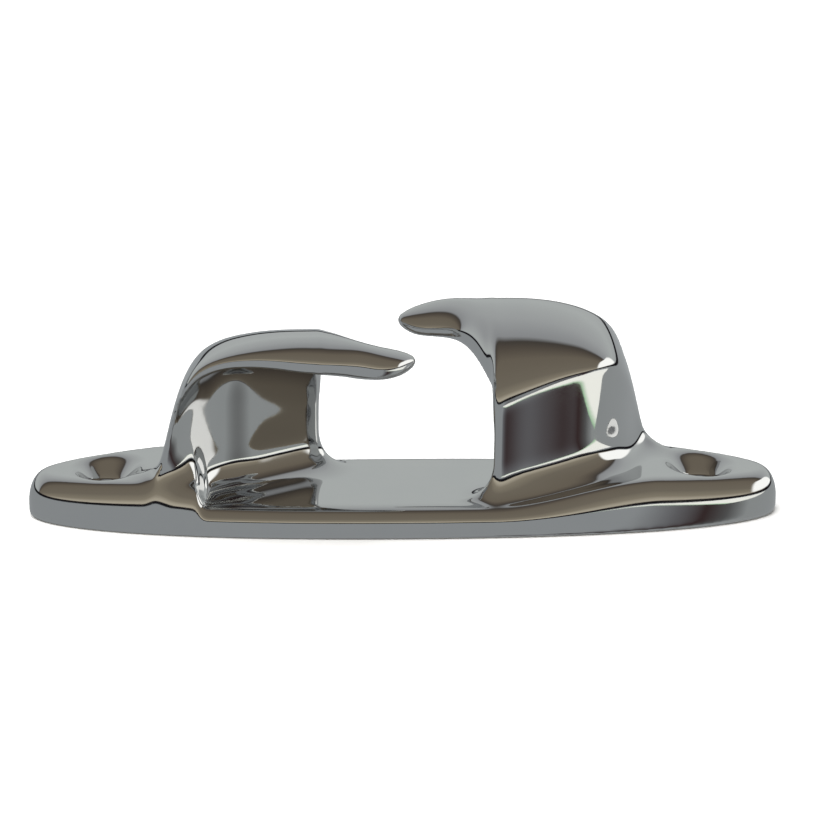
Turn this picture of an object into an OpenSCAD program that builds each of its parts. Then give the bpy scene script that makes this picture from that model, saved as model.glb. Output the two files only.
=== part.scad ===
// Straight bow chock with two staggered horns, one plated casting on a low oval base.
// It is divided where the casting changes shape: the base, two posts and two horns.
// Frame: X along the base, Y across it, Z up. The underside of the base lies on Z = 0.
// The casting looks the same after half a turn about Z, so each post and horn is drawn
// once, for the +X end, and turned for the other. There the lip faces +Y.

/* [Base] */
// overall length of the base
base_l = 114.3; // [106:0.1:130]
// width of the base at its middle
base_w = 23.6; // [22:0.1:27]
// height of the channel floor over the underside
floor_h = 4.7; // [4:0.1:6]
// height of the end lands where they meet the posts
land_h = 8.0; // [7:0.1:9]
// fall of each land towards its end, in degrees
land_fall = 3.6; // [2:0.1:5]
// height of the straight band round the edge
edge_h = 2.3; // [1.5:0.1:3]
// width of the rounding over that band
crown_w = 2.6; // [1.5:0.1:3.5]

/* [Screw holes] */
// distance between the two screw holes
hole_span = 90.6; // [86:0.1:95]
// diameter of each screw hole
hole_d = 5.2; // [4.2:0.1:6]
// diameter of the countersink at its rim
sink_d = 10.2; // [8:0.1:11]
// included angle of the countersink, in degrees
sink_angle = 82; // [80:1:100]

/* [Posts and horns] */
// clear width of the channel between the posts
channel_w = 25.2; // [24:0.1:28]
// distance from the middle to the outer foot of a post
post_foot = 37.7; // [37:0.1:39]
// how far each horn tip passes the middle
tip_past = 0.9; // [0:0.1:3]
// height of the cap over the underside of the base
cap_h = 31.1; // [28:0.1:34]
// roundness of the lip's lower edge
nose_r = 1.5; // [1.2:0.1:1.8]
// radius where a post meets the base
foot_r = 3.6; // [2.5:0.1:4.2]
// share of a post's height over which its smooth wall stays upright, at the channel
wall_up = 0.42; // [0.3:0.01:0.55]
// the same share towards its outer end
wall_up_out = 0.75; // [0.6:0.01:0.8]
// share of the hollow's height over which its wall stays upright, at the channel
hollow_wall = 0.3; // [0.2:0.01:0.45]
// share of the hollow's depth that its arched roof takes
hollow_arch = 0.6; // [0.4:0.01:0.8]

/* [Hidden] */
steel = [0.72, 0.73, 0.74];
plan_n = 2.25;          // exponent of the base outline
land_in = 31.0;         // where a land steps down to the channel floor, on the lip side
step_w = 0.9;           // length of that step
web_shift = 1.0;        // half the width over which the two floor levels meet under a post
post_in = channel_w / 2;
end_flat = 0.3;         // half the width of the flat left at the very ends of the base
clear = 3;              // how far a cutter runs past the surface
steep = 2;              // slope from a foot up to the base surface under a post
wall_run = 18;          // length over which the upright share grows
hollow_gain = 0.016;    // growth of the hollow's upright share along the post
base_steps = 72;        // stations along the base
base_across = 30;       // spaces across it
post_steps = 30;        // stations along a post
horn_steps = 14;        // stations along a horn
z_k = cap_h / 31.1;     // heights of posts and horns follow the cap

// smooth value between stations
function ease(t, k, d) = (lookup(t - d, k) + 2 * lookup(t, k) + lookup(t + d, k)) / 4;
function clamp01(t) = min(1, max(0, t));
function smooth(t) = let (u = clamp01(t)) u * u * (3 - 2 * u);

// Base surface, at s along and w across the +X half
function half_w(s) = let (u = min(1, abs(s) / (base_l / 2)))
    max(end_flat, base_w / 2 * pow(1 - pow(u, plan_n), 1 / plan_n));
function half_w_slope(s) = (half_w(s + 0.05) - half_w(s - 0.05)) / 0.1;
function ramp(s) = s < post_in ? floor_h
    : s < post_foot ? floor_h + (land_h - floor_h) * smooth((s - post_in) / (post_foot - post_in))
    : land_h - (s - post_foot) * tan(land_fall);
function pocket(s) = let (t = smooth((s - land_in) / step_w + 0.5)) floor_h * (1 - t) + ramp(s) * t;
function web_mid(s) = (foot_out(s) + foot_in(s)) / 2;
function level(s, w) = let (t = smooth((w - web_mid(s)) / (2 * web_shift) + 0.5))
    s < 0 ? level(-s, -w) : ramp(s) * (1 - t) + pocket(s) * t;
function crown(d) = let (u = 1 - clamp01(d / crown_w)) sqrt(max(0, 1 - u * u));
function top_at(s, w) = let (
        sl = half_w_slope(s),
        d = max(0, (half_w(s) - abs(w)) / sqrt(1 + sl * sl)))
    edge_h + (level(s, w) - edge_h) * crown(d);

// Stations of a post and horn: [distance along, value]. Low wall on the smooth side,
foot_out_k = [[12, -8.4], [16, -7.3], [20, -6.4], [24, -5.4], [28, -4.2], [30, -3.0], [32, -1.2],
    [33, -0.1], [34, 1.4], [35, 3.2], [36, 5.2], [37.7, 7.4]];
// the same wall on the hollow side, running out to the solid outer rim
foot_in_k = [[12, -7.2], [14, -5.8], [17, -4.0], [20, -2.2], [24, 0.2], [27, 1.6], [29, 2.8],
    [31, 4.4], [33, 6.2], [35, 7.5], [37.7, 7.9]];
// crest of the cap: place across and height
crest_y_k = [[-1, 9.4], [2, 10.2], [5, 10.7], [8, 10.0], [10, 9.0], [12, 8.4], [16, 8.4], [24, 8.4],
    [28, 8.4], [30, 8.7], [32, 9.3], [34, 9.9], [36, 9.8], [37.7, 9.4]];
crest_z_k = [[-1, 28.2], [0, 28.8], [2, 29.5], [4, 30.0], [8, 30.8], [12, 31.1], [16, 31.2], [20, 31.0],
    [24, 30.4], [28, 29.2], [30, 28.2], [32, 26.5], [33, 25.0], [34, 22.8], [35, 19.8], [36, 15.8],
    [37, 11.4], [37.7, 8.6]];
// nose of the lip: place across and height
nose_y_k = [[-1, 9.8], [0, 11.2], [2, 12.8], [4, 13.5], [8, 13.3], [12, 12.9], [16, 12.7], [20, 12.5],
    [24, 12.1], [28, 11.5], [30, 11.1], [32, 10.8], [34, 10.7], [36, 10.3], [37.7, 9.9]];
nose_z_k = [[-1, 27.7], [0, 27.4], [2, 27.2], [4, 27.1], [8, 27.6], [12, 27.8], [16, 28.0], [20, 28.5],
    [24, 28.6], [28, 28.0], [30, 27.1], [32, 25.4], [33, 23.9], [34, 21.7], [35, 18.6], [36, 14.6],
    [37, 10.4], [37.7, 8.3]];
// edge of a horn along the slot: place across and height
slot_y_k = [[-1, 9.0], [0, 7.9], [2, 6.9], [5, 6.3], [8, 4.6], [9.5, 2.4], [10.9, -0.9], [12.4, -4.4],
    [13, -5.6]];
slot_z_k = [[-1, 27.7], [0, 27.0], [5, 26.4], [8, 26.4], [9.5, 25.6], [10.9, 24.1], [12.4, 21.7],
    [13, 20.4]];
// underside of a horn at its middle
under_z_k = [[-1, 27.3], [0, 26.3], [2, 25.6], [6, 25.2], [12, 25.4], [13, 25.5]];

function foot_out(s) = ease(s, foot_out_k, 0.7);
function foot_in(s) = ease(s, foot_in_k, 0.7);
function crest_y(s) = ease(s, crest_y_k, 1);
function crest_z(s) = ease(s, crest_z_k, 0.5) * z_k;
function nose_y(s) = ease(s, nose_y_k, 0.8);
function nose_z(s) = ease(s, nose_z_k, 0.5) * z_k;
function slot_y(s) = ease(s, slot_y_k, 0.6);
function slot_z(s) = ease(s, slot_z_k, 0.6) * z_k;
function under_z(s) = ease(s, under_z_k, 0.6) * z_k;
function taper(s) = clamp01((post_foot - s) / 3.5);
function nose(s) = nose_r * (0.12 + 0.88 * clamp01((post_foot - s) / 8));
function foot(s) = foot_r * (0.08 + 0.92 * taper(s));

// Curves in a section: cubic through four handles, and a quarter of an ellipse
function cubic(a, b, c, d, n, from = 0, to = undef) = [for (i = [from : is_undef(to) ? n : to])
    let (t = i / n, u = 1 - t) u * u * u * a + 3 * u * u * t * b + 3 * u * t * t * c + t * t * t * d];
function quarter(c, a, b, f0, f1, n, from = 0) = [for (i = [from : n])
    let (f = f0 + (f1 - f0) * i / n) [c[0] + a * cos(f), c[1] + b * sin(f)]];

// Section of a post at s: smooth side from the base, over the crest, round the lip,
// along the roof of the hollow and down its wall, then back under the post, where it
// follows the base but keeps below both feet.
function post_section(s) = let (
        r = foot(s),
        n = nose(s),
        yo = foot_out(s),
        yi = min(max(foot_in(s), foot_out(s) + 0.6), nose_y(s) - n - 0.15),
        room = half_w(s) - 0.25,
        ro = min(r, max(0.3, yo + room)),
        ri = min(r, max(0.3, room - yi)),
        zo = top_at(s, yo - ro),
        zi = top_at(s, yi + ri),
        cy = crest_y(s),
        cz = crest_z(s),
        ny = max(nose_y(s), cy + 0.3),
        nz = min(nose_z(s), cz - 0.2),
        low = [ny - n, nz - n],
        turn_z = zo + r + upright(s) * max(0.1, cz - zo - r),
        wall_i = min(zi + r, low[1] - 0.4),
        turn_i = wall_i + hollow_up(s) * (low[1] - wall_i),
        arch = hollow_arch * (low[0] - yi))
    concat(
        quarter([yo - ro, zo + r], ro, r, -90, 0, 4),
        quarter([cy, turn_z], cy - yo, cz - turn_z, 180, 90, 14),
        quarter([cy, nz], ny - cy, cz - nz, 90, 0, 6, 1),
        quarter([ny - n, nz], n, n, 0, -90, 4, 1),
        quarter([yi + arch, turn_i], arch, low[1] - turn_i, 90, 180, 12),
        quarter([yi + ri, wall_i], ri, wall_i - zi, 180, 270, 4),
        [[yi + ri / 2, zi], [yi, zi]],
        [for (i = [1 : 4]) let (w = yi + (yo - yi) * i / 5)
            [w, min(top_at(s, w), zi + r / 2 + steep * (yi - w), zo + r / 2 + steep * (w - yo))]],
        [[yo, zo], [yo - ro / 2, zo]]);
function upright(s) = min(wall_up_out, wall_up + (wall_up_out - wall_up) * (s - post_in) / wall_run);
function hollow_up(s) = min(0.7, hollow_wall + (s - post_in) * hollow_gain);

// Section of a horn at s: over the top from the slot to the lip, and back underneath
function horn_section(s) = let (
        cy = crest_y(s),
        cz = crest_z(s),
        ny = max(nose_y(s), cy + 0.3),
        nz = min(nose_z(s), cz - 0.3),
        ey = min(slot_y(s), cy - 0.3),
        ez = slot_z(s),
        uz = min(under_z(s), nz - 0.2),
        my = (ny + max(ey, 2)) / 2)
    concat(
        quarter([cy, ez], cy - ey, cz - ez, 180, 90, 10),
        quarter([cy, nz], ny - cy, cz - nz, 90, 0, 6, 1),
        quarter([my, nz], ny - my, nz - uz, 0, -90, 6, 1),
        cubic([my, uz], [my - (my - ey) * 0.6, uz], [ey + 0.3, ez - 0.8], [ey, ez], 7, 1, 6));

// Triangles that fill a section, given as points p and a list of which are still on its outline.
// Each step cuts off the ear that is the least thin.
function turn(a, b, c) = (b[0] - a[0]) * (c[1] - a[1]) - (b[1] - a[1]) * (c[0] - a[0]);
function within(q, a, b, c) = turn(a, b, q) <= 0 && turn(b, c, q) <= 0 && turn(c, a, q) <= 0;
function ear(p, left, k) = let (
        n = len(left),
        at = [left[(k + n - 1) % n], left[k], left[(k + 1) % n]],
        a = p[at[0]],
        b = p[at[1]],
        c = p[at[2]],
        crowded = [for (i = left) if (i != at[0] && i != at[1] && i != at[2] && within(p[i], a, b, c)) i])
    turn(a, b, c) >= 0 || len(crowded) > 0 ? -1
        : -turn(a, b, c) / pow(max(norm(a - b), norm(b - c), norm(c - a)), 2);
function fill(p, left) = len(left) < 4 ? [left] : let (
        n = len(left),
        ears = [for (k = [0 : n - 1]) ear(p, left, k)],
        k = search(max(ears), ears)[0])
    concat([[left[(k + n - 1) % n], left[k], left[(k + 1) % n]]],
        fill(p, [for (i = [0 : n - 1]) if (i != k) left[i]]));

// Skin over sections that all have the same number of points, clockwise as seen from +X
module skin(at, sections) {
    n = len(sections[0]);
    m = len(sections);
    points = [for (j = [0 : m - 1]) for (p = sections[j]) [at[j], p[0], p[1]]];
    sides = [for (j = [0 : m - 2]) for (i = [0 : n - 1]) for (half = [0, 1]) let (
            a = j * n + i,
            b = j * n + (i + 1) % n,
            c = a + n,
            d = b + n)
        half == 0 ? [a, b, c] : [b, d, c]];
    all = [for (i = [0 : n - 1]) i];
    first = [for (f = fill(sections[0], all)) [f[2], f[1], f[0]]];
    last = [for (f = fill(sections[m - 1], all)) [for (i = f) i + (m - 1) * n]];
    polyhedron(points, concat(sides, first, last));
}

module base_shape() {
    half = base_l / 2;
    at = [for (j = [0 : base_steps]) -half * cos(180 * j / base_steps)];
    across = [for (i = [0 : base_across]) sin(90 * (2 * i / base_across - 1))];
    skin(at, [for (x = at) let (h = half_w(x)) concat(
        [[-h, 0], [-h, edge_h / 2]],
        [for (i = [0 : base_across]) [h * across[i], top_at(x, h * across[i])]],
        [[h, edge_h / 2], [h, 0]])]);
}

module screw_hole() {
    sink_z = ramp(hole_span / 2);
    slope = tan(sink_angle / 2);
    translate([0, 0, -clear])
        cylinder(h = cap_h, d = hole_d, $fn = 48);
    translate([0, 0, sink_z - (sink_d - hole_d) / 2 / slope])
        cylinder(h = (sink_d - hole_d) / 2 / slope + clear,
            r1 = hole_d / 2, r2 = sink_d / 2 + clear * slope, $fn = 48);
}

// Underside on Z = 0, two countersunk holes on the centreline
module base_plate() {
    color(steel)
    difference() {
        base_shape();
        translate([hole_span / 2, 0, 0]) screw_hole();
        translate([-hole_span / 2, 0, 0]) screw_hole();
    }
}

module post_shape() {
    at = [for (j = [0 : post_steps]) post_in
        + (post_foot - post_in) * (1 - pow(1 - j / post_steps, 1.35))];
    skin(at, [for (s = at) post_section(s)]);
}

module horn_shape() {
    at = [for (j = [0 : horn_steps]) -tip_past
        + (post_in + tip_past) * (1 - cos(90 * j / horn_steps))];
    skin(at, [for (s = at) horn_section(s)]);
}

module post_right() {
    color(steel) post_shape();
}

module post_left() {
    color(steel) rotate([0, 0, 180]) post_shape();
}

module horn_right() {
    color(steel) horn_shape();
}

module horn_left() {
    color(steel) rotate([0, 0, 180]) horn_shape();
}

base_plate();
post_left();
post_right();
horn_left();
horn_right();
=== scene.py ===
"""Polished chrome bow chock with two staggered horns, on a plain pale floor.

The chock is one casting, so one seamless skin stands for all five CAD sections. Its sections are
the ones in part.scad: millimetres, s outward from the middle and w across towards the lip, drawn
for the +X end and turned half round for the other. They fill a distance field, and the skin is
the surface where that field is zero.
"""
import math

import bpy
import numpy as np
from mathutils import Matrix, Vector


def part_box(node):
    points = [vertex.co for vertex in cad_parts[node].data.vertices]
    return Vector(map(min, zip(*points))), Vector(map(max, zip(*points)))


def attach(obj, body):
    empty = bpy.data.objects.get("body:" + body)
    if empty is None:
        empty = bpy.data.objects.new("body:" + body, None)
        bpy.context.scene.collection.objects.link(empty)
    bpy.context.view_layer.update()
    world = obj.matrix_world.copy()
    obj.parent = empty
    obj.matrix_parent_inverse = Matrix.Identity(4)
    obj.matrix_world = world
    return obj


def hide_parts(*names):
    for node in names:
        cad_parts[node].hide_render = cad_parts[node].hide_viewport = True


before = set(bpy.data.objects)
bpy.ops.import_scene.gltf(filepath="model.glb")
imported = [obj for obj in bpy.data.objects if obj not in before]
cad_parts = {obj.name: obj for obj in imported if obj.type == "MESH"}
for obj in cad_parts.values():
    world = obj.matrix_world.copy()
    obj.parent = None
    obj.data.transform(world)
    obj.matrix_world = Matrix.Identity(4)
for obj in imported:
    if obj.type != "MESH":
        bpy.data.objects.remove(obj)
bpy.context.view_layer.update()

MM = 0.001
SECTIONS = ("base_plate", "post_left", "post_right", "horn_left", "horn_right")

# ---- Driving dimensions, in millimetres, from the frame where it has them
base_lo, base_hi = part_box("base_plate")
post_lo, post_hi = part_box("post_right")
horn_lo, horn_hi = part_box("horn_right")
BASE_L = (base_hi[0] - base_lo[0]) / MM
BASE_W = (base_hi[1] - base_lo[1]) / MM
POST_IN = post_lo[0] / MM      # inner face of a post
POST_FOOT = post_hi[0] / MM    # its outer foot
TIP = horn_lo[0] / MM          # a horn's tip, just past the middle
PLAN_N = 2.25                  # exponent of the base outline
FLOOR_H = 4.7                  # channel floor over the underside
LAND_H = 8.0                   # end land where it meets a post
LAND_FALL = math.radians(3.6)  # fall of the land towards its end
EDGE_H = 2.3                   # straight band round the base edge
CROWN_W = 2.6                  # width of the rounding over it
LAND_IN = 31.0                 # where the land steps down to the floor
STEP_W = 0.9                   # length of that step
WEB_SHIFT = 1.0                # half the width over which the two floors meet under a post
UNDER_ROUND = 0.35             # edge of the underside
NOSE_R = 1.5                   # roundness of the lip's lower edge
NOSE_LEAST = 0.12              # share of that roundness left at the outer foot
NOSE_RUN = 8.0                 # length over which it shrinks to that share
WEB_LEAST = 0.6                # least thickness of a post at its foot
THIN = 0.3                     # least width or height of a curve in a section
FOOT_R = 3.6                   # height over the base where a post's walls begin to turn
FOOT_BLEND = 6.0               # how far a post's foot spreads into the base
END_BLEND = 6.4                # the same at its outer end
FOOT_TAPER = 16.0              # length over which one turns into the other
WALL_UP = 0.42                 # share of a post's height over which its smooth wall stays upright
WALL_UP_OUT = 0.75             # the same share towards its outer end
WALL_RUN = 18.0                # length over which that share grows
HOLLOW_WALL = 0.3              # share of the hollow's height over which its wall stays upright
HOLLOW_GAIN = 0.016            # growth of that share along the post
HOLLOW_MOST = 0.7              # where that growth stops
HOLLOW_ARCH = 0.6              # share of the hollow's depth that its arched roof takes
EDGE_KEEP = 5.0                # within this of the base edge a foot spreads less
EDGE_SHARE = 0.30              # down to this share of it
FOOT_DEPTH = 2.4               # how far the posts reach down into the base
CORNER_R = 1.2                 # upright corner of a post at the channel
TIP_R = 0.35                   # edge of a horn's tip
FOOT_EDGE = 0.1                # edge of a post at its outer foot
HORN_ROOT = 0.8                # how far a horn's shape runs into its post
UNDER_MID = 2.0                # a horn's underside turns up no further back than this
UNDER_REACH = 0.6              # share of its width that the underside stays level
EDGE_LEAN = (0.3, 0.8)         # lean of the underside where it meets the slot
BLEND = 0.9                    # how softly the shapes run into one another
HOLE_SPAN = 90.6
HOLE_D = 5.2
SINK_D = 10.2
SINK_ANGLE = math.radians(82)
SINK_CLEAR = 1.0               # how far the countersink's cone runs past the land
SINK_EDGE = 0.15               # broken edge round the countersink

# ---- Stations of a post and horn: (distance along, value)
FOOT_OUT = ((12, -8.4), (16, -7.3), (20, -6.4), (24, -5.4), (28, -4.2), (30, -3.0), (32, -1.2),
            (33, -0.1), (34, 1.4), (35, 3.2), (36, 5.2), (37.7, 7.4))
FOOT_IN = ((12, -7.2), (14, -5.8), (17, -4.0), (20, -2.2), (24, 0.2), (27, 1.6), (29, 2.8),
           (31, 4.4), (33, 6.2), (35, 7.5), (37.7, 7.9))
CREST_Y = ((-1, 9.4), (2, 10.2), (5, 10.7), (8, 10.0), (10, 9.0), (12, 8.4), (16, 8.4), (24, 8.4),
           (28, 8.4), (30, 8.7), (32, 9.3), (34, 9.9), (36, 9.8), (37.7, 9.4))
CREST_Z = ((-1, 28.2), (0, 28.8), (2, 29.5), (4, 30.0), (8, 30.8), (12, 31.1), (16, 31.2),
           (20, 31.0), (24, 30.4), (28, 29.2), (30, 28.2), (32, 26.5), (33, 25.0), (34, 22.8),
           (35, 19.8), (36, 15.8), (37, 11.4), (37.7, 8.6))
NOSE_Y = ((-1, 9.8), (0, 11.2), (2, 12.8), (4, 13.5), (8, 13.3), (12, 12.9), (16, 12.7), (20, 12.5),
          (24, 12.1), (28, 11.5), (30, 11.1), (32, 10.8), (34, 10.7), (36, 10.3), (37.7, 9.9))
NOSE_Z = ((-1, 27.7), (0, 27.4), (2, 27.2), (4, 27.1), (8, 27.6), (12, 27.8), (16, 28.0),
          (20, 28.5), (24, 28.6), (28, 28.0), (30, 27.1), (32, 25.4), (33, 23.9), (34, 21.7),
          (35, 18.6), (36, 14.6), (37, 10.4), (37.7, 8.3))
SLOT_Y = ((-1, 9.0), (0, 7.9), (2, 6.9), (5, 6.3), (8, 4.6), (9.5, 2.4), (10.9, -0.9),
          (12.4, -4.4), (13, -5.6))
SLOT_Z = ((-1, 27.7), (0, 27.0), (5, 26.4), (8, 26.4), (9.5, 25.6), (10.9, 24.1), (12.4, 21.7),
          (13, 20.4))
UNDER_Z = ((-1, 27.3), (0, 26.3), (2, 25.6), (6, 25.2), (12, 25.4), (13, 25.5))

# ---- Field
STEP = 0.4      # spacing of the field's points
MARGIN = 2.4    # how far the field reaches past the shape
FAR = 6.5       # distance given to points that are far outside
FINE = 5        # curve points for each one in part.scad
SOFTEN = (0.06, 0.24, 0.4, 0.24, 0.06)  # rounds the field by about one spacing
EASE = ((-1.2, 0.1), (-0.6, 0.24), (0.0, 0.32), (0.6, 0.24), (1.2, 0.1))  # (offset, weight)
TINY = 1e-6     # keeps divisions clear of nought

# ---- Evening out of the skin's points
PASSES = 4      # times they are evened out
PULL = 0.6      # share of the way to the middle of their neighbours
RETURNS = 3     # steps that take them back to the surface
LONGEST = 0.5   # longest such step, in spacings


# ======================================================================= curves
def spline(t, stations):
    """Smooth value between stations: a cubic through them, averaged by EASE."""
    at, value = (np.array(c, float) for c in zip(*stations))
    slope = np.gradient(value, at)
    total = 0.0
    for offset, weight in EASE:
        x = np.clip(np.asarray(t, float) + offset, at[0], at[-1])
        i = np.clip(np.searchsorted(at, x, side="right") - 1, 0, len(at) - 2)
        gap = at[i + 1] - at[i]
        u = (x - at[i]) / gap
        total = total + weight * (
            (1 + 2 * u) * (1 - u) ** 2 * value[i] + u * (1 - u) ** 2 * gap * slope[i]
            + u * u * (3 - 2 * u) * value[i + 1] + u * u * (u - 1) * gap * slope[i + 1])
    return total


def smooth(t):
    u = np.clip(t, 0, 1)
    return u * u * (3 - 2 * u)


def cubic(a, b, c, d, count):
    """Points of a curve through four handles, without its ends."""
    a, b, c, d = (np.array(p, float) for p in (a, b, c, d))
    t = np.arange(1, count)[:, None] / count
    u = 1 - t
    return u ** 3 * a + 3 * u * u * t * b + 3 * u * t * t * c + t ** 3 * d


def quarter(centre, a, b, start, stop, count, first=0):
    """Points of an ellipse between two angles, in degrees."""
    angle = np.radians(start + (stop - start) * np.arange(first, count + 1) / count)
    return np.stack([centre[0] + a * np.cos(angle), centre[1] + b * np.sin(angle)], axis=1)


# ======================================================================= base surface
def outline_depth(x, y):
    """Distance inside the base outline, near its edge."""
    u, v = np.abs(x) / (BASE_L / 2), np.abs(y) / (BASE_W / 2)
    value = u ** PLAN_N + v ** PLAN_N - 1
    slope = PLAN_N * np.hypot(u ** (PLAN_N - 1) / (BASE_L / 2), v ** (PLAN_N - 1) / (BASE_W / 2))
    return -value / np.maximum(slope, 1e-3)


def ramp(s):
    climb = FLOOR_H + (LAND_H - FLOOR_H) * smooth((s - POST_IN) / (POST_FOOT - POST_IN))
    return np.where(s < POST_FOOT, climb, LAND_H - (s - POST_FOOT) * math.tan(LAND_FALL))


def level(x, y):
    """Height of the base's top, away from its edge."""
    s, w = np.abs(x), np.where(x < 0, -y, y)
    drop = smooth((s - LAND_IN) / STEP_W + 0.5)
    pocket = FLOOR_H * (1 - drop) + ramp(s) * drop
    web = (spline(s, FOOT_OUT) + spline(s, FOOT_IN)) / 2
    side = smooth((w - web) / (2 * WEB_SHIFT) + 0.5)
    return ramp(s) * (1 - side) + pocket * side


def top_at(s, w):
    """Height of the base's top at one place, its rounded edge included."""
    reach = max(0.0, 1 - max(0.0, float(outline_depth(s, w))) / CROWN_W)
    return EDGE_H + (float(level(s, w)) - EDGE_H) * math.sqrt(max(0.0, 1 - reach * reach))


def base_field(x, y, z):
    """Distance to the base: straight band, elliptic crown, level top and flat underside."""
    height = level(x, y) - EDGE_H
    across = np.maximum(0, 1 - outline_depth(x, y) / CROWN_W)[..., None] + 0 * z
    up = np.maximum(0, (z - EDGE_H) / height[..., None])
    reach = np.hypot(across, up)
    slope = np.hypot(across / CROWN_W, up / height[..., None])
    body = np.where(reach > TINY, (reach - 1) * reach / np.maximum(slope, TINY), -FAR)
    return round_max(body, -z + 0 * body, UNDER_ROUND)


# ======================================================================= sections
def post_section(s):
    """Smooth side from the base, over the crest, round the lip, back along the hollow's roof
    and wall, and across under the post."""
    r = FOOT_R
    n = NOSE_R * (NOSE_LEAST + (1 - NOSE_LEAST) * min(1.0, max(0.0, (POST_FOOT - s) / NOSE_RUN)))
    yo = float(spline(s, FOOT_OUT))
    yi = max(float(spline(s, FOOT_IN)), yo + WEB_LEAST)
    yi = min(yi, float(spline(s, NOSE_Y)) - n - THIN / 2)
    zo, zi = top_at(s, yo), top_at(s, yi)
    cy, cz = float(spline(s, CREST_Y)), float(spline(s, CREST_Z))
    ny = max(float(spline(s, NOSE_Y)), cy + THIN)
    nz = min(float(spline(s, NOSE_Z)), cz - 0.2)
    low = np.array([ny - n, nz - n])
    upright = min(WALL_UP_OUT, WALL_UP + (WALL_UP_OUT - WALL_UP) * (s - POST_IN) / WALL_RUN)
    turn_z = min(zo + r, cz - THIN) + upright * max(0.1, cz - zo - r)
    wall_i = min(zi + r, low[1] - 0.4)
    share = min(HOLLOW_MOST, HOLLOW_WALL + (s - POST_IN) * HOLLOW_GAIN)
    turn_i = wall_i + share * (low[1] - wall_i)
    arch = HOLLOW_ARCH * (low[0] - yi)
    deep = min(zo, zi) - FOOT_DEPTH
    return np.vstack([
        [[yo, deep]],
        quarter([cy, turn_z], cy - yo, cz - turn_z, 180, 90, 14 * FINE),
        quarter([cy, nz], ny - cy, cz - nz, 90, 0, 6 * FINE, 1),
        quarter([ny - n, nz], n, n, 0, -90, 4 * FINE, 1),
        quarter([yi + arch, turn_i], arch, low[1] - turn_i, 90, 180, 12 * FINE),
        [[yi, deep]]])


def horn_section(s):
    """Over the top from the slot to the lip, and back underneath."""
    cy, cz = float(spline(s, CREST_Y)), float(spline(s, CREST_Z))
    ny = max(float(spline(s, NOSE_Y)), cy + THIN)
    nz = min(float(spline(s, NOSE_Z)), cz - THIN)
    ey = min(float(spline(s, SLOT_Y)), cy - THIN)
    ez = float(spline(s, SLOT_Z))
    uz = min(float(spline(s, UNDER_Z)), nz - 0.2)
    my = (ny + max(ey, UNDER_MID)) / 2
    return np.vstack([
        quarter([cy, ez], cy - ey, cz - ez, 180, 90, 10 * FINE),
        quarter([cy, nz], ny - cy, cz - nz, 90, 0, 6 * FINE, 1),
        quarter([my, nz], ny - my, nz - uz, 0, -90, 6 * FINE, 1),
        cubic([my, uz], [my - (my - ey) * UNDER_REACH, uz], [ey + EDGE_LEAN[0], ez - EDGE_LEAN[1]],
              [ey, ez], 7 * FINE)])


# ======================================================================= distance field
def round_max(a, b, r):
    """What two shapes share, with the edge between them rounded."""
    return np.minimum(np.maximum(a, b), -r) + np.hypot(np.maximum(a + r, 0), np.maximum(b + r, 0))


def soft_min(a, b, width):
    """Two shapes joined, with the corner between them filled."""
    h = np.maximum(width - np.abs(a - b), 0) / width
    return np.minimum(a, b) - h * h * width / 4


def outline_distance(y, z, outline):
    """Distance of each (y, z) from a closed outline, negative inside."""
    result = np.full((len(y), len(z)), FAR)
    near_y = np.flatnonzero((y > outline[:, 0].min() - FAR) & (y < outline[:, 0].max() + FAR))
    near_z = np.flatnonzero((z > outline[:, 1].min() - FAR) & (z < outline[:, 1].max() + FAR))
    py, pz = (g.reshape(-1, 1) for g in np.meshgrid(y[near_y], z[near_z], indexing="ij"))
    a, b = outline, np.roll(outline, -1, axis=0)
    ey, ez = b[:, 0] - a[:, 0], b[:, 1] - a[:, 1]
    wy, wz = py - a[:, 0], pz - a[:, 1]
    t = np.clip((wy * ey + wz * ez) / np.maximum(ey * ey + ez * ez, 1e-12), 0, 1)
    gap = np.sqrt(((wy - t * ey) ** 2 + (wz - t * ez) ** 2).min(axis=1))
    spans = (a[:, 1] <= pz) != (b[:, 1] <= pz)
    cut = a[:, 0] + ey * wz / np.where(np.abs(ez) < 1e-12, 1e-12, ez)
    inside = (spans & (py < cut)).sum(axis=1) % 2 == 1
    values = np.where(inside, -gap, gap).reshape(len(near_y), len(near_z))
    result[np.ix_(near_y, near_z)] = np.minimum(values, FAR)
    return result


def swept_field(x, y, z, section, inner, outer, inner_r, outer_r):
    """Field of a shape given by its section at each place along X, with rounded ends."""
    field = np.full((len(x), len(y), len(z)), FAR)
    for i, s in enumerate(x):
        if inner - FAR < s < outer + FAR:
            body = outline_distance(y, z, section(min(outer, max(inner, s))))
            field[i] = round_max(round_max(body, inner - s, inner_r), s - outer, outer_r)
    return field


def hole_field(x, y, z):
    """Inside of a countersunk hole, for both ends at once."""
    radius = np.hypot(np.abs(x) - HOLE_SPAN / 2, y)[..., None] + 0 * z
    rim_z = float(ramp(np.array(HOLE_SPAN / 2)))
    slope = math.tan(SINK_ANGLE / 2)
    over_rim = np.minimum(z - rim_z, SINK_CLEAR)
    cone = (radius - SINK_D / 2 - over_rim * slope) * math.cos(SINK_ANGLE / 2)
    return np.minimum(radius - HOLE_D / 2, cone)


def both_ends(field):
    """The +X end's field joined with itself turned half round."""
    return np.minimum(field, field[::-1, ::-1, :])


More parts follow.
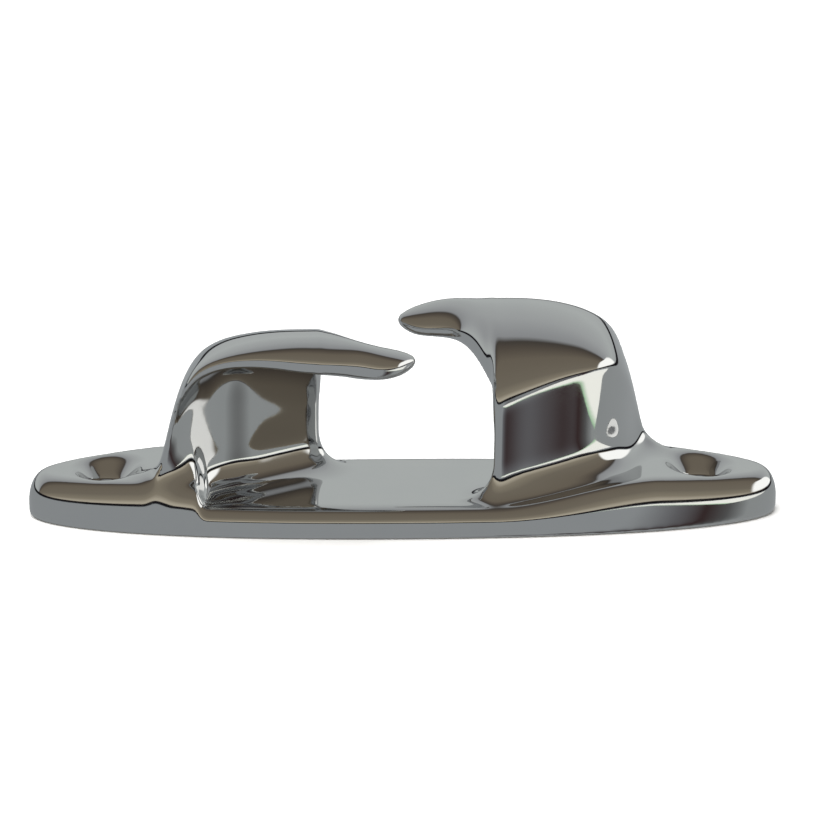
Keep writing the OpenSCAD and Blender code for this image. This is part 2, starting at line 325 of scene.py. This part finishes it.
def casting_field(x, y, z):
    gx, gy = np.meshgrid(x, y, indexing="ij")
    posts = both_ends(swept_field(x, y, z, post_section, POST_IN, POST_FOOT, CORNER_R, FOOT_EDGE))
    horns = both_ends(swept_field(x, y, z, horn_section, TIP, POST_IN + HORN_ROOT, TIP_R, TIP_R))
    field = soft_min(posts, horns, BLEND)
    spread = END_BLEND + (FOOT_BLEND - END_BLEND) * smooth((POST_FOOT - np.abs(gx)) / FOOT_TAPER)
    spread = spread * np.clip(outline_depth(gx, gy) / EDGE_KEEP, EDGE_SHARE, 1)
    field = soft_min(field, base_field(gx, gy, z), spread[..., None])
    field = np.maximum(field, -z)  # the blends don't bulge under the base
    field = round_max(field, -hole_field(gx, gy, z), SINK_EDGE)
    for axis in range(3):
        pad = [(2, 2) if k == axis else (0, 0) for k in range(3)]
        wide = np.pad(field, pad, mode="edge")
        size = field.shape[axis]
        field = sum(weight * wide.take(range(k, k + size), axis=axis)
                    for k, weight in enumerate(SOFTEN))
    return field


# ======================================================================= skin
def sample(field, points):
    """Value of the field between its points, which are given in spacings."""
    last = np.array(field.shape) - 2
    low = np.clip(np.floor(points).astype(int), 0, last)
    t = points - low
    total = 0.0
    for corner in np.ndindex(2, 2, 2):
        weight = np.prod([t[:, k] if corner[k] else 1 - t[:, k] for k in range(3)], axis=0)
        total = total + weight * field[tuple((low + corner).T)]
    return total


def skin(field):
    """Vertices, in spacings, and quads of the surface where the field is zero."""
    cells = tuple(n - 1 for n in field.shape)
    corners = {c: field[tuple(slice(c[k], c[k] + cells[k]) for k in range(3))]
               for c in np.ndindex(2, 2, 2)}
    inside = sum((v < 0).astype(int) for v in corners.values())
    active = (inside > 0) & (inside < 8)
    number = np.full(cells, -1)
    number[active] = np.arange(active.sum())
    total, count = np.zeros((active.sum(), 3)), np.zeros(active.sum())
    for a in corners:
        for k in range(3):
            if a[k]:
                continue
            b = tuple(1 if j == k else a[j] for j in range(3))
            va, vb = corners[a][active], corners[b][active]
            crosses = (va < 0) != (vb < 0)
            point = np.tile(np.array(a, float), (len(va), 1))
            point[:, k] += va / np.where(crosses, va - vb, 1)
            total[crosses] += point[crosses]
            count[crosses] += 1
    vertices = total / count[:, None] + np.argwhere(active)
    quads = []
    for k in range(3):
        u, v = (k + 1) % 3, (k + 2) % 3
        low = [slice(1, n - 1) for n in field.shape]
        low[k] = slice(0, cells[k])
        high = list(low)
        high[k] = slice(1, cells[k] + 1)
        here, there = field[tuple(low)], field[tuple(high)]
        place = np.argwhere((here < 0) != (there < 0))
        start = np.array([s.start for s in low])
        outward = here[tuple(place.T)] < 0
        ring = []
        for du, dv in ((-1, -1), (0, -1), (0, 0), (-1, 0)):
            at = place + start
            at[:, u] += du
            at[:, v] += dv
            ring.append(number[tuple(at.T)])
        ring = np.stack(ring, axis=1)
        quads.append(np.where(outward[:, None], ring, ring[:, ::-1]))
    return vertices, np.vstack(quads)


def relax(vertices, quads, field, slopes):
    """Evens out the vertices and puts each back on the surface. Returns them with their normals."""
    edges = np.vstack([quads[:, [k, (k + 1) % 4]] for k in range(4)])
    for _ in range(PASSES):
        total, count = np.zeros_like(vertices), np.zeros(len(vertices))
        for a, b in ((0, 1), (1, 0)):
            np.add.at(total, edges[:, a], vertices[edges[:, b]])
            np.add.at(count, edges[:, a], 1)
        vertices = (1 - PULL) * vertices + PULL * total / count[:, None]
        for _ in range(RETURNS):
            slope = np.stack([sample(g, vertices) for g in slopes], axis=1)
            size = np.maximum((slope ** 2).sum(axis=1), 1e-4)
            move = sample(field, vertices) / size
            vertices = vertices - np.clip(move[:, None] * slope, -LONGEST, LONGEST)
    slope = np.stack([sample(g, vertices) for g in slopes], axis=1)
    return vertices, slope / np.linalg.norm(slope, axis=1)[:, None]


def make_casting():
    """The seamless skin as one mesh object, in metres."""
    half = np.array([BASE_L / 2 + MARGIN, max(abs(horn_hi[1]), -base_lo[1]) / MM + MARGIN])
    nx, ny = np.ceil(half / STEP).astype(int)
    x, y = np.arange(-nx, nx + 1) * STEP, np.arange(-ny, ny + 1) * STEP
    z = np.arange(-MARGIN, post_hi[2] / MM + MARGIN, STEP)
    field = casting_field(x, y, z)
    slopes = np.gradient(field)
    vertices, quads = skin(field)
    vertices, normals = relax(vertices, quads, field, slopes)
    points = (vertices * STEP + [x[0], y[0], z[0]]) * MM
    mesh = bpy.data.meshes.new("chock_casting")
    mesh.from_pydata(points.tolist(), [], quads.tolist())
    mesh.shade_smooth()
    mesh.normals_split_custom_set_from_vertices(normals.tolist())
    piece = bpy.data.objects.new("chock_casting", mesh)
    bpy.context.scene.collection.objects.link(piece)
    return piece


# ======================================================================= materials
def add(tree, kind, **sockets):
    """A node with its inputs set: a number or colour, or the output that feeds it."""
    node = tree.nodes.new(kind)
    for name, value in sockets.items():
        key = int(name[1:]) if name[0] == "i" and name[1:].isdigit() else name.replace("_", " ")
        if isinstance(value, bpy.types.NodeSocket):
            tree.links.new(value, node.inputs[key])
        else:
            node.inputs[key].default_value = value
    return node


def math_node(tree, operation, a, b=0.0):
    node = add(tree, "ShaderNodeMath", i0=a, i1=b)
    node.operation = operation
    return node.outputs[0]


def product(tree, first, *others):
    for other in others:
        first = math_node(tree, "MULTIPLY", first, other)
    return first


def half_turns(tree, rise, run):
    """Angle of a direction, with half a turn as 1."""
    return math_node(tree, "DIVIDE", math_node(tree, "ARCTAN2", rise, run), math.pi)


def map_range(tree, value, low, high, to_low=0.0, to_high=1.0):
    node = add(tree, "ShaderNodeMapRange", Value=value, From_Min=low, From_Max=high,
               To_Min=to_low, To_Max=to_high)
    node.interpolation_type = "SMOOTHSTEP"
    return node.outputs[0]


def mix(tree, factor, a, b):
    """One colour into another. Each is a colour or the output that gives it."""
    node = add(tree, "ShaderNodeMix", Factor=factor)
    node.data_type = "RGBA"
    for socket, value in ((node.inputs[6], a), (node.inputs[7], b)):
        if isinstance(value, bpy.types.NodeSocket):
            tree.links.new(value, socket)
        else:
            socket.default_value = (*value, 1)
    return node.outputs[2]


def ramp_node(tree, value, stops):
    """A colour that follows a value, by stops of (place, colour)."""
    node = add(tree, "ShaderNodeValToRGB", Fac=value)
    elements = node.color_ramp.elements
    while len(elements) < len(stops):
        elements.new(0.5)
    for element, (at, colour) in zip(elements, stops):
        element.position = at
        element.color = (*colour, 1)
    return node.outputs[0]


def new_material(name):
    """A material with nodes: itself and its tree."""
    material = bpy.data.materials.new(name)
    material.use_nodes = True
    return material, material.node_tree


def noise(tree, place, scale, detail):
    return add(tree, "ShaderNodeTexNoise", Vector=place, Scale=scale, Detail=detail).outputs["Fac"]


def chrome_material():
    """Polished chrome: a cool plate, faint polishing marks, and cast grain under the horn tips."""
    material, tree = new_material("chrome")
    shader = tree.nodes["Principled BSDF"]
    shader.inputs["Metallic"].default_value = 1.0
    place = add(tree, "ShaderNodeTexCoord").outputs["Object"]
    parts = add(tree, "ShaderNodeSeparateXYZ", Vector=place)
    facing = add(tree, "ShaderNodeSeparateXYZ",
                 Vector=add(tree, "ShaderNodeNewGeometry").outputs["Normal"])
    # unpolished grain: under the horns, near their tips
    near_tip = map_range(tree, math_node(tree, "ABSOLUTE", parts.outputs["X"]), 7 * MM, 3 * MM)
    high_up = map_range(tree, parts.outputs["Z"], 24.5 * MM, 25.5 * MM)
    downward = map_range(tree, facing.outputs["Z"], -0.15, -0.5)
    rough_patch = product(tree, near_tip, high_up, downward)
    # dulling on the underside
    under = map_range(tree, parts.outputs["Z"], 0.5 * MM, 0.1 * MM)
    dull = math_node(tree, "MAXIMUM", rough_patch, under)
    cloud = noise(tree, place, 160.0, 3.0)
    haze = map_range(tree, cloud, 0.35, 0.75, 0.035, 0.075)
    rough = math_node(tree, "ADD", haze, product(tree, dull, 0.3))
    tree.links.new(rough, shader.inputs["Roughness"])
    tree.links.new(mix(tree, cloud, (0.60, 0.605, 0.61), (0.64, 0.64, 0.635)),
                   shader.inputs["Base Color"])
    # polishing marks follow the length; the grain is coarser
    stretch = add(tree, "ShaderNodeMapping", Vector=place, Scale=(120.0, 1400.0, 1400.0))
    marks = noise(tree, stretch.outputs[0], 1.0, 4.0)
    grain = noise(tree, place, 1500.0, 2.0)
    height = math_node(tree, "ADD", product(tree, marks, 0.02), product(tree, grain, dull, 1.2))
    bump = add(tree, "ShaderNodeBump", Height=height, Strength=0.6, Distance=0.1 * MM)
    tree.links.new(bump.outputs[0], shader.inputs["Normal"])
    return material


def floor_material():
    material, tree = new_material("floor_white")
    shader = tree.nodes["Principled BSDF"]
    shader.inputs["Roughness"].default_value = 0.9
    shader.inputs["Specular IOR Level"].default_value = 0.1
    cloud = noise(tree, add(tree, "ShaderNodeTexCoord").outputs["Object"], 12.0, 2.0)
    tree.links.new(mix(tree, cloud, (0.86, 0.86, 0.86), (0.89, 0.89, 0.885)),
                   shader.inputs["Base Color"])
    return material


def glowing_paper_material():
    """Glowing card for bright paper, a painted glow: it emits its own light, greenish along the
    edge nearest the part.
    """
    material, tree = new_material("paper")
    across = add(tree, "ShaderNodeSeparateXYZ",
                 Vector=add(tree, "ShaderNodeTexCoord").outputs["Generated"]).outputs[0]
    # painted glow: the card emits this colour, greenish at the edge nearest the part and bright
    # white beyond
    tint = ramp_node(tree, across, (
        (0.0, (0.45, 0.75, 0.45)), (0.03, (1.3, 1.3, 1.2)), (1.0, (1.3, 1.3, 1.25))))
    glow = add(tree, "ShaderNodeEmission", Color=tint)
    tree.links.new(glow.outputs[0], tree.nodes["Material Output"].inputs["Surface"])
    return material


# ======================================================================= stage
def make_sheet(name, low, high, z, material):
    """A level rectangle between two corners, in metres."""
    mesh = bpy.data.meshes.new(name)
    mesh.from_pydata([(low[0], low[1], z), (high[0], low[1], z), (high[0], high[1], z),
                      (low[0], high[1], z)], [], [(0, 1, 2, 3)])
    mesh.materials.append(material)
    sheet = bpy.data.objects.new(name, mesh)
    bpy.context.scene.collection.objects.link(sheet)
    return sheet


def make_floor():
    reach = 3.0
    floor = make_sheet("floor", (-reach, -reach), (reach, reach), 0, floor_material())
    floor.visible_glossy = False  # the plate mirrors the grey room below, as on a grey table


def make_glowing_paper():
    """Glowing card for bright paper on the table, right of the part, seen only in the chrome: its
    brightness is a painted glow.
    """
    paper = make_sheet("paper", (0.062, -0.16), (0.26, -0.022), 0.4 * MM, glowing_paper_material())
    paper.visible_camera = paper.visible_diffuse = paper.visible_shadow = False


def make_room():
    """What the chrome mirrors: a grey table, a dark line where it ends, a warm room in front, a
    pale wall behind and a bright window to the right."""
    world = bpy.data.worlds.new("room")
    bpy.context.scene.world = world
    world.use_nodes = True
    tree = world.node_tree
    background = tree.nodes["Background"]
    way = add(tree, "ShaderNodeSeparateXYZ",
              Vector=add(tree, "ShaderNodeTexCoord").outputs["Generated"])
    x, y, z = (way.outputs[k] for k in range(3))
    ahead = math_node(tree, "MULTIPLY", y, -1.0)
    # over the top from the front horizon, 0, to the rear one, 1
    room = ramp_node(tree, half_turns(tree, z, ahead), (
        (0.0, (0.62, 0.56, 0.44)), (0.035, (0.58, 0.52, 0.41)), (0.07, (0.33, 0.29, 0.22)),
        (0.15, (0.23, 0.20, 0.155)), (0.36, (0.20, 0.17, 0.13)), (0.46, (0.12, 0.10, 0.08)),
        (0.51, (0.08, 0.07, 0.06)), (0.55, (0.38, 0.39, 0.40)), (0.70, (0.50, 0.52, 0.52)),
        (0.88, (0.57, 0.60, 0.59)), (1.0, (0.48, 0.50, 0.50))))
    # the table, by direction: straight ahead 0, to the right 0.5, straight behind 1
    table = ramp_node(tree, half_turns(tree, x, ahead), (
        (0.0, (0.36, 0.38, 0.39)), (0.12, (0.36, 0.38, 0.39)), (0.16, (0.17, 0.17, 0.18)),
        (0.20, (0.05, 0.03, 0.03)), (0.25, (0.12, 0.12, 0.12)), (0.32, (0.36, 0.38, 0.38)),
        (1.0, (0.42, 0.44, 0.45))))
    ground = mix(tree, map_range(tree, z, 0.004, -0.004), room, table)
    # dark line at the table's end
    off_line = math_node(tree, "ABSOLUTE", math_node(tree, "SUBTRACT", z, 0.025))
    lined = mix(tree, map_range(tree, off_line, 0.045, 0.028), ground, (0.01, 0.01, 0.012))
    # window: an upright card to the right
    window = product(tree, map_range(tree, x, 0.86, 0.90),
                     product(tree, map_range(tree, z, 0.07, 0.09), map_range(tree, z, 0.46, 0.42)))
    lit = mix(tree, window, lined, (1.5, 1.5, 1.45))
    # the camera itself sees a white backdrop
    to_camera = add(tree, "ShaderNodeLightPath").outputs["Is Camera Ray"]
    tree.links.new(mix(tree, to_camera, lit, (1.0, 1.0, 1.0)), background.inputs["Color"])


def make_light():
    """One wide soft light overhead for the floor; the chrome doesn't mirror it."""
    data = bpy.data.lights.new("overhead", "AREA")
    data.shape = "DISK"
    data.size = 1.6
    data.energy = 42
    light = bpy.data.objects.new("overhead", data)
    light.location = (-0.3, -0.2, 1.5)
    light.rotation_euler = (Vector((0, 0, 0)) - light.location).to_track_quat("-Z", "Y").to_euler()
    light.visible_glossy = False
    bpy.context.scene.collection.objects.link(light)


def make_camera():
    """Slightly from the left and above, as a product photograph of a small fitting."""
    azimuth, elevation, roll = math.radians(-3.2), math.radians(20.4), math.radians(0.8)
    distance = 0.52
    view_w = 1.093 * BASE_L * MM   # width of the frame at the object
    raise_aim = 15.7 * MM          # the frame's middle over the base's middle
    slide_aim = 0.35 * MM
    away = Vector((math.sin(azimuth) * math.cos(elevation),
                   -math.cos(azimuth) * math.cos(elevation), math.sin(elevation)))
    right = Vector((math.cos(azimuth), math.sin(azimuth), 0))
    up = right.cross(-away)
    aim = up * raise_aim + right * slide_aim
    data = bpy.data.cameras.new("camera")
    data.lens = data.sensor_width * distance / view_w
    camera = bpy.data.objects.new("camera", data)
    turn = Matrix((right, up, away)).transposed() @ Matrix.Rotation(roll, 3, "Z")
    camera.matrix_world = Matrix.Translation(aim + away * distance) @ turn.to_4x4()
    bpy.context.scene.collection.objects.link(camera)
    bpy.context.scene.camera = camera


# ======================================================================= assembly
bpy.context.scene.view_settings.view_transform = "Standard"
make_camera()
make_room()
make_glowing_paper()
make_light()
make_floor()

casting = make_casting()
casting.data.materials.append(chrome_material())
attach(casting, "root")
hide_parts(*SECTIONS)
